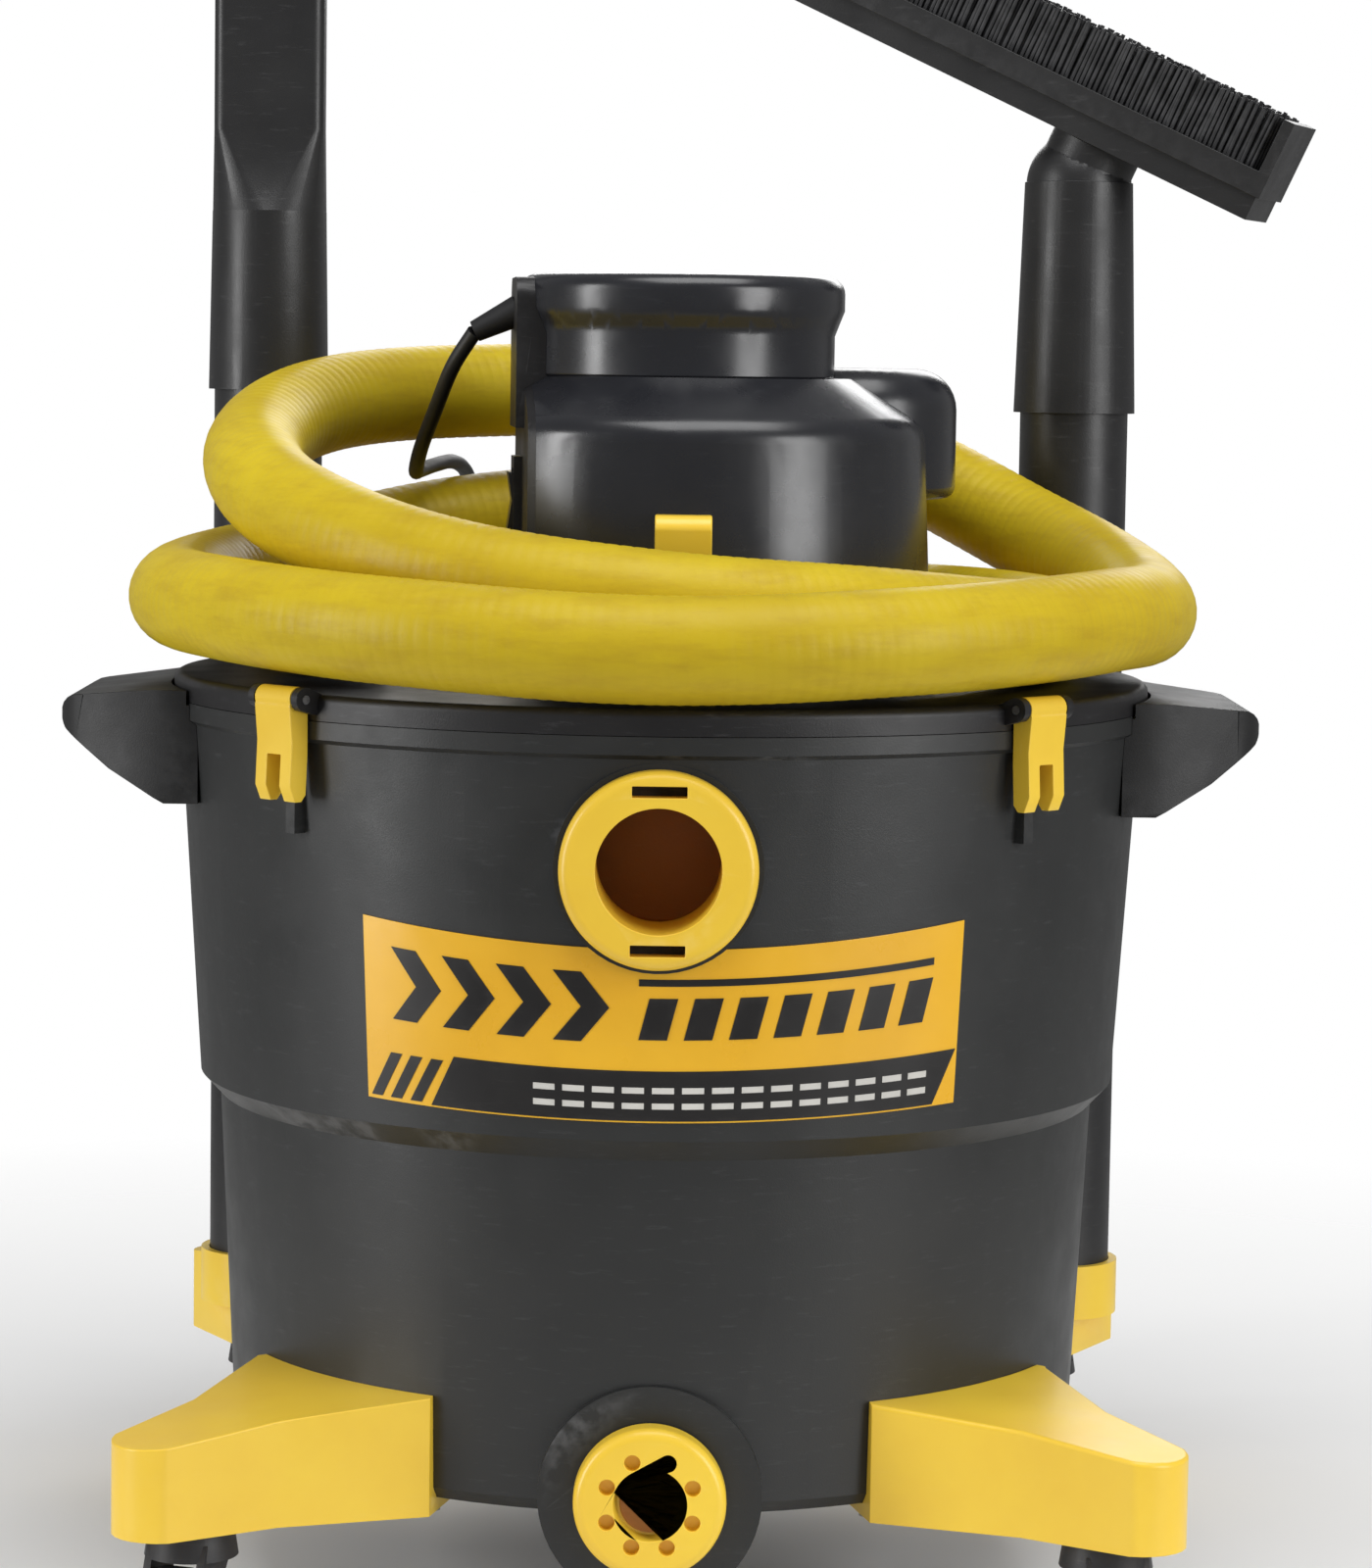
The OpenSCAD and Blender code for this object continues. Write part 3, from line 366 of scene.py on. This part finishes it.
# The lead's route from the strain relief over the hose and down behind the drum to the coil.
CORD_ROUTE = [(-0.092, 0.009, 0.525), (-0.103, 0.020, 0.508), (-0.112, 0.038, 0.487),
              (-0.120, 0.062, 0.468), (-0.124, 0.092, 0.456), (-0.124, 0.125, 0.455),
              (-0.118, 0.160, 0.457), (-0.110, 0.192, 0.458), (-0.104, 0.220, 0.451),
              (-0.100, 0.240, 0.430), (-0.098, 0.248, 0.400), (-0.097, 0.250, 0.340),
              (-0.096, 0.249, 0.270), (-0.095, 0.248, 0.200), (-0.094, 0.247, 0.130),
              (-0.093, 0.246, 0.060), (-0.092, 0.246, 0.0), (-0.090, 0.250, -0.036),
              (-0.086, 0.262, -0.057), (-0.076, 0.278, -0.067), (-0.060, 0.289, -0.0682),
              (-0.040, 0.296, -0.0682)]
TAIL_ROUTE = [(0.0355, 0.3165, -0.050), (0.052, 0.324, -0.056), (0.072, 0.324, -0.062),
              (0.092, 0.316, -0.064)]
COIL_LAYERS = 4
COIL_TURNS = 4
STEP_SHARE = 1 / 4                       # part of a turn over which the cord steps sideways or up


def ease(t):
    t = min(max(t, 0.0), 1.0)
    return t * t * (3 - 2 * t)


def coil_steps():
    """Where the winding moves by a diameter, as (turn, change of radius, change of height)."""
    steps = []
    turn, inward = 1 - STEP_SHARE, True
    for layer in range(COIL_LAYERS):
        for k in range(COIL_TURNS - 1):
            steps.append((turn + k, -1 if inward else 1, 0))
        turn += COIL_TURNS - 1 - STEP_SHARE
        if layer < COIL_LAYERS - 1:
            steps.append((turn, 0, 1))
        turn += 1 - STEP_SHARE
        inward = not inward
    return steps


def coil_points(start_angle, turns):
    """The winding of the coil, counter-clockwise from its outermost bottom turn."""
    low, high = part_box("cord_coil")
    centre = (low + high) / 2
    outer = (high.x - low.x) / 2 - CORD_D / 2
    steps = coil_steps()
    points = []
    for turned in np.arange(0, turns, 1 / 72):
        shares = [ease((turned - at) / STEP_SHARE) for at, _, _ in steps]
        radius = outer + CORD_D * sum(s * out for s, (_, out, _) in zip(shares, steps))
        height = low.z + CORD_D / 2 + CORD_D * sum(s * up for s, (_, _, up) in zip(shares, steps))
        angle = math.radians(start_angle) + 2 * math.pi * turned
        points.append((centre.x + radius * math.cos(angle), centre.y + radius * math.sin(angle), height))
    return points


COIL_START = -90                         # degrees, where the lead meets the coil
COIL_END = 14.083                        # turns, where the cord leaves it for the plug
lead = catmull(CORD_ROUTE, 8)
winding = coil_points(COIL_START, COIL_END)
tail = catmull([winding[-1], *TAIL_ROUTE], 8)[1:]
cord_path = evenly([*lead, *winding, *tail], 0.004)
bm = bmesh.new()
sweep(bm, cord_path, lambda far, around: CORD_D / 2, 12)
cord = add_piece("power_lead", mesh_of(bm, "power_lead", 60), CORD, "lid", "power_cord", "cord_coil")


# ---------------------------------------------------------------- refined CAD shapes
SHARP = math.radians(30)                 # edges that turn more than this are rounded


def refined(node, material, width=0.8, rule=None, segments=3):
    """The CAD node's own shape with rounded edges. width, and what rule returns, are in mm."""
    bm = bmesh.new()
    bm.from_mesh(NODES[node].data)
    bmesh.ops.remove_doubles(bm, verts=bm.verts, dist=0.00003)
    bmesh.ops.dissolve_limit(bm, angle_limit=math.radians(0.4), verts=bm.verts, edges=bm.edges)
    weight = bm.edges.layers.float.new("bevel_weight_edge")
    chosen = {}
    for edge in bm.edges:
        if len(edge.link_faces) == 2 and edge.calc_face_angle(0) > SHARP:
            middle = (edge.verts[0].co + edge.verts[1].co) / 2
            chosen[edge] = rule(middle) if rule else width
    widest = max([*chosen.values(), 0.01])
    for edge, wide in chosen.items():
        edge[weight] = wide / widest
    soften(bm, 40)
    for edge in chosen:
        edge.smooth = True
    mesh = bpy.data.meshes.new(f"{node}_rounded")
    bm.to_mesh(mesh)
    bm.free()
    piece = add_piece(f"{node}_rounded", mesh, material, BODY_OF[node], node)
    bevel = piece.modifiers.new("round", "BEVEL")
    bevel.limit_method = "WEIGHT"
    bevel.width = widest * MM
    bevel.segments = segments
    bevel.use_clamp_overlap = True
    bevel.miter_outer = "MITER_ARC"
    normals = piece.modifiers.new("normals", "WEIGHTED_NORMAL")
    normals.keep_sharp = True
    return piece


def paint(material, *names):
    """A material for CAD nodes whose shape is right as it is."""
    for name in names:
        mesh = NODES[name].data
        mesh.materials.clear()
        mesh.materials.append(material)


FOOT_INNER = 0.218                       # from the drum's axis: a foot's outer edges lie beyond it
FOOT_MIDDLE = 0.028                      # height between a foot's lower and upper edges
HANDLE_OUTER = 0.25                      # from the middle plane: the grips lie beyond it


def foot_edge(middle):
    """Broad rounding in mm along a foot's outer top edge, narrow elsewhere."""
    outside = math.hypot(middle.x, middle.y) > FOOT_INNER
    return 7.0 if outside and middle.z > FOOT_MIDDLE else 1.0


def handle_edge(middle):
    """A handle is rounded broadly on the outside and narrowly where it meets the drum."""
    return 3.5 if abs(middle.x) > HANDLE_OUTER else 0.8


refined("drum", DRUM, 1.0)
refined("label_panel", FILM, 0.2)
refined("inlet_ring", SUNNY, 0.8)
refined("drain_cap", SUNNY, 0.8)
for side in ("left", "right"):
    refined(f"handle_{side}", HANDLE, rule=handle_edge)
    refined(f"wand_{side}", TOOL, 0.6)
for corner in ("front_left", "front_right", "rear_left", "rear_right"):
    refined(f"foot_{corner}", SUNNY, rule=foot_edge, segments=4)
    refined(f"latch_{corner}", SUNNY, 1.2)
    refined(f"caster_fork_{corner}", CASTER, 0.8)
    refined(f"caster_wheel_{corner}", TYRE, 0.6)
    refined(f"caster_axle_{corner}", STEEL, 0.5)
refined("lid", LID, 1.0)
refined("head_base", HEAD, 1.5)
refined("head_cap", HEAD, 1.0)
refined("exhaust_cowl", HEAD, 0.8)
refined("switch_panel", LID, 1.0)
refined("rocker_switch", ROCKER, 0.8)
refined("strain_relief", CORD, 0.5)
refined("hose_clip", SUNNY, 1.5)
refined("crevice_tool", TOOL, 0.8)
refined("floor_tool_neck", TOOL, 0.8)
refined("floor_tool_housing", TOOL, 1.2)
refined("hose_cuff_machine", CUFF, 1.0)
refined("hose_cuff_tool", CUFF, 1.0)
plug = refined("power_plug", CORD, 1.5)
paint(RUBBER, "inlet_gasket", "drain_gasket", "lid_gasket")
paint(BROWN, "inlet_deflector")
paint(INNER, "filter_cage", "filter_end_cap")
paint(SCREW, "drum_screws", "head_screws")
paint(STEEL, "latch_pins")
paint(MOTOR, "motor_housing")
paint(COPPER, "motor_armature")
paint(ALLOY, "impeller")
paint(FLOAT, "float_ball")
paint(PAPER, "filter_media")


# ---------------------------------------------------------------- floor tool bristles
SWIVEL = next(j for j in frame["record"]["behaviour"]["joints"] if j["name"] == "floor_tool_swivel")
ELBOW = np.array(SWIVEL["pos_m"])
NECK_AXIS = unit(np.array(SWIVEL["axis"], float))
TOOL_ALONG = unit(np.cross(NECK_AXIS, (-NECK_AXIS[1], NECK_AXIS[0], 0)) * -1)
TOOL_ACROSS = np.cross(NECK_AXIS, TOOL_ALONG)
STRIP_ENDS = (-0.2265, 0.0865)           # along the tool, from its neck
STRIP_OFFSET = 0.019                     # of each strip from the middle of the tool
BRISTLE_ROOT = 0.027
BRISTLE_TIP = 0.0775
TUFT_STEP = 0.0027
TUFT_ROWS = (-0.0024, 0, 0.0024)         # across a strip, from its middle
TUFT_SIDES = 6


def tool_point(along, across, out):
    """Point in the floor tool's own directions, measured from the bend of its neck."""
    return ELBOW + along * TOOL_ALONG + across * TOOL_ACROSS + out * NECK_AXIS


def make_bristles():
    """Tufts in three rows for each strip, each a bundle that splays and leans a little."""
    dice = random.Random(7)
    bm = bmesh.new()
    for strip in (-STRIP_OFFSET, STRIP_OFFSET):
        for row in TUFT_ROWS:
            for along in np.arange(STRIP_ENDS[0], STRIP_ENDS[1], TUFT_STEP):
                start = along + dice.uniform(-0.0003, 0.0003) + row * 0.4
                lean = dice.uniform(-0.0012, 0.0012)
                tip = BRISTLE_TIP - dice.uniform(0, 0.0018)
                rings = []
                for share, radius in ((0, 0.0010), (0.6, 0.00125), (1, 0.0011)):
                    out = BRISTLE_ROOT + share * (tip - BRISTLE_ROOT)
                    angles = [2 * math.pi * k / TUFT_SIDES for k in range(TUFT_SIDES)]
                    rings.append([tool_point(start + lean * share + radius * math.cos(a),
                                             strip + row + radius * math.sin(a), out) for a in angles])
                skin_rings(bm, rings)
    add_piece("bristle_tufts", mesh_of(bm, "bristle_tufts", 70), BRISTLE, "floor_tool_head", "brush_strips")


make_bristles()


# ---------------------------------------------------------------- label marks
LABEL_SKIN = 0.0008                      # the film's outer face above the wall
WALL_LOW = (0.172, 0.2195)               # height and radius of the wall above its step
WALL_HIGH = (0.341, 0.230)
WALL_MIDDLE = 0.223                      # radius of the wall behind the label
LOW_EDGE = (2.4925, 2.312)               # centre height and radius of the label's edges
HIGH_EDGE = (1.2305, 0.973)


def label_point(degrees, share, lift):
    """Point on the label: share runs from 0 at its lower edge to 1 at its upper edge."""
    around = math.radians(degrees)
    across = WALL_MIDDLE * math.sin(around)
    low, high = (centre - math.sqrt(radius ** 2 - across ** 2) for centre, radius in (LOW_EDGE, HIGH_EDGE))
    height = low + share * (high - low)
    slope = (WALL_HIGH[1] - WALL_LOW[1]) / (WALL_HIGH[0] - WALL_LOW[0])
    radius = WALL_LOW[1] + slope * (height - WALL_LOW[0]) + LABEL_SKIN + lift
    return (radius * math.sin(around), -radius * math.cos(around), height)


PATCH_ROWS = 8
PATCH_STEP = 1.2                         # degrees from one column to the next
PATCH_SUNK = -0.0002                     # of a patch's back face, just inside the film


def label_patch(bm, left, right, low, high, lean=None, skin=0.0003):
    """Thin closed patch that follows the label; lean gives the sideways shift in degrees up the patch."""
    columns = max(2, math.ceil((right - left) / PATCH_STEP))
    rows = PATCH_ROWS
    skins = []
    for lift in (PATCH_SUNK, skin):
        grid = []
        for j in range(rows + 1):
            shift = lean(j / rows) if lean else 0
            grid.append([bm.verts.new(label_point(left + shift + (right - left) * i / columns,
                                                  low + (high - low) * j / rows, lift))
                         for i in range(columns + 1)])
        skins.append(grid)
    back, front = skins
    for j in range(rows):
        for i in range(columns):
            bm.faces.new((front[j][i], front[j][i + 1], front[j + 1][i + 1], front[j + 1][i]))
            bm.faces.new((back[j][i], back[j + 1][i], back[j + 1][i + 1], back[j][i + 1]))
    rim = ([(0, i) for i in range(columns)] + [(j, columns) for j in range(rows)]
           + [(rows, i) for i in range(columns, 0, -1)] + [(j, 0) for j in range(rows, 0, -1)])
    for (j, i), (jj, ii) in zip(rim, rim[1:] + rim[:1]):
        bm.faces.new((front[j][i], back[j][i], back[jj][ii], front[jj][ii]))


def chevron(t):
    """Sideways shift in degrees that points a patch's middle to the right."""
    return 3.2 * (1 - abs(2 * t - 1))


def make_label_marks():
    """Plain marks in place of lettering: a dark band with pale dashes, hatching, chevrons and bars."""
    bm = bmesh.new()
    label_patch(bm, -26.6, 33.8, 0.01, 0.30, lambda t: 3.0 * t)
    for start in (-34.8, -32.1, -29.4):
        label_patch(bm, start, start + 1.5, 0.02, 0.27, lambda t: 2.9 * t)
    for k in range(4):
        label_patch(bm, -31.5 + 6.6 * k, -28.3 + 6.6 * k, 0.46, 0.86, chevron)
    for k in range(7):
        label_patch(bm, -2.0 + 5.1 * k, 1.2 + 5.1 * k, 0.48, 0.72, lambda t: 1.2 * t)
    label_patch(bm, -2.0, 33.0, 0.79, 0.83)
    add_piece("label_marks", mesh_of(bm, "label_marks"), INK, "drum")
    bm = bmesh.new()
    for k in range(14):
        start = -14 + 3.4 * k
        for low in (0.08, 0.17):
            label_patch(bm, start, start + 2.5, low, low + 0.035, skin=0.0005)
    add_piece("label_dashes", mesh_of(bm, "label_dashes"), PALE, "drum")


make_label_marks()


# ---------------------------------------------------------------- small added pieces
CENTRE_DEPTH = 0.0058                    # of the darker orange disc of painted shade, behind the drain cap's face
TIE = 0.0011                             # thickness of a cord tie
TIE_WIDTH = 0.005
TIE_PLACES = (40, 215)                   # degrees round the coil
TIE_FOOT = 0.0004                        # height of a tie's underside above the coil's
TIE_BELOW = 0.0008                       # thickness of a tie under the coil


def make_recess_shade_disc():
    """Darker orange disc in the recess of the drain cap: painted shade for the shaded recess."""
    low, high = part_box("drain_cap")
    centre = (low + high) / 2
    bm = bmesh.new()
    bmesh.ops.create_cone(bm, cap_ends=True, segments=48, radius1=0.0136, radius2=0.013, depth=0.0012)
    turned = Matrix.Rotation(math.radians(90), 4, "X")
    place = Matrix.Translation((centre.x, low.y + CENTRE_DEPTH, centre.z))
    bmesh.ops.transform(bm, matrix=place @ turned, verts=bm.verts)
    add_piece("drain_cap_shade_disc", mesh_of(bm, "drain_cap_shade_disc"), RECESS_SHADE, "drain_cap")


def make_coil_ties():
    """Two flat ties round the coil of the power cord."""
    low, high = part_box("cord_coil")
    centre = (low + high) / 2
    outer = (high.x - low.x) / 2
    inner = outer - (high.z - low.z)
    foot = low.z + TIE_FOOT
    above = foot + TIE_BELOW
    top = high.z + TIE
    skins = [[(inner, above), (outer, above), (outer, high.z), (inner, high.z)],
             [(inner - TIE, foot), (outer + TIE, foot), (outer + TIE, top), (inner - TIE, top)]]
    bm = bmesh.new()
    for degrees in TIE_PLACES:
        out = np.array([math.cos(math.radians(degrees)), math.sin(math.radians(degrees)), 0])
        side = np.array([-out[1], out[0], 0]) * TIE_WIDTH / 2
        near, far = ([bm.verts.new(np.array([centre.x, centre.y, z]) + r * out + edge)
                      for r, z in skin for edge in (-side, side)] for skin in skins)
        for k in range(4):
            a, b = 2 * k, 2 * ((k + 1) % 4)
            bm.faces.new((far[a], far[b], far[b + 1], far[a + 1]))
            bm.faces.new((near[a], near[a + 1], near[b + 1], near[b]))
            bm.faces.new((near[a], near[b], far[b], far[a]))
            bm.faces.new((near[a + 1], far[a + 1], far[b + 1], near[b + 1]))
    return add_piece("coil_ties", mesh_of(bm, "coil_ties"), RUBBER, "lid")


make_recess_shade_disc()
ties = make_coil_ties()


# ---------------------------------------------------------------- studio
FLOOR_RADIUS = 6
FLOOR_FADE = (0.42, 1.25)                # from the middle: where the floor starts and ends fading
SKY = 0.25                               # strength of the sky in reflections and soft light


def area_light(name, place, aim, size, power):
    """Rectangular soft light; power is in watts."""
    data = bpy.data.lights.new(name, "AREA")
    data.shape = "RECTANGLE"
    data.size, data.size_y = size
    data.energy = power
    light = bpy.data.objects.new(name, data)
    light.location = place
    light.rotation_euler = (Vector(aim) - Vector(place)).to_track_quat("-Z", "Y").to_euler()
    bpy.context.scene.collection.objects.link(light)


def make_floor():
    """Wide pale floor that fades into the white background."""
    bm = bmesh.new()
    bmesh.ops.create_circle(bm, cap_ends=True, radius=FLOOR_RADIUS, segments=96)
    bmesh.ops.translate(bm, verts=bm.verts, vec=(0, 0, FLOOR_Z))
    floor = bpy.data.objects.new("floor", mesh_of(bm, "floor"))
    bpy.context.scene.collection.objects.link(floor)
    s = Shader("floor_paint")
    s.set(Base_Color=s.mix(s.noise(3, 3), linear(240, 240, 240), linear(247, 247, 247)), Roughness=0.75,
          Specular_IOR_Level=0.2)
    away = s.add("ShaderNodeVectorMath", {0: s.place}, operation="LENGTH").outputs["Value"]
    clear = s.add("ShaderNodeBsdfTransparent").outputs[0]
    faded = s.add("ShaderNodeMixShader", {0: s.ramp(away, *FLOOR_FADE), 1: s.bsdf.outputs[0], 2: clear})
    output = s.tree.nodes["Material Output"]
    s.tree.links.new(faded.outputs[0], output.inputs["Surface"])
    floor.data.materials.append(s.material)


def make_world():
    """White to the eye, with a dimmer sky for what the surfaces reflect."""
    world = bpy.data.worlds.new("studio")
    world.use_nodes = True
    nodes, links = world.node_tree.nodes, world.node_tree.links
    seen = nodes.new("ShaderNodeLightPath").outputs["Is Camera Ray"]
    strength = nodes.new("ShaderNodeMapRange")
    strength.inputs["To Min"].default_value = SKY
    strength.inputs["To Max"].default_value = 1.0
    links.new(seen, strength.inputs["Value"])
    background = nodes["Background"]
    background.inputs["Color"].default_value = (1, 1, 1, 1)
    links.new(strength.outputs[0], background.inputs["Strength"])
    bpy.context.scene.world = world


make_floor()
make_world()
area_light("left_box", (-2.2, -0.9, 0.7), (0, 0, 0.35), (0.5, 1.8), 29)
area_light("right_box", (1.95, -1.5, 0.8), (0, 0, 0.35), (1.0, 1.6), 30)
area_light("top_box", (0.2, -0.6, 2.4), (0, 0, 0.2), (1.8, 1.4), 31)
area_light("back_box", (0.4, 2.2, 1.4), (0, 0, 0.4), (1.6, 1.0), 16)
bpy.context.scene.view_settings.view_transform = "Standard"
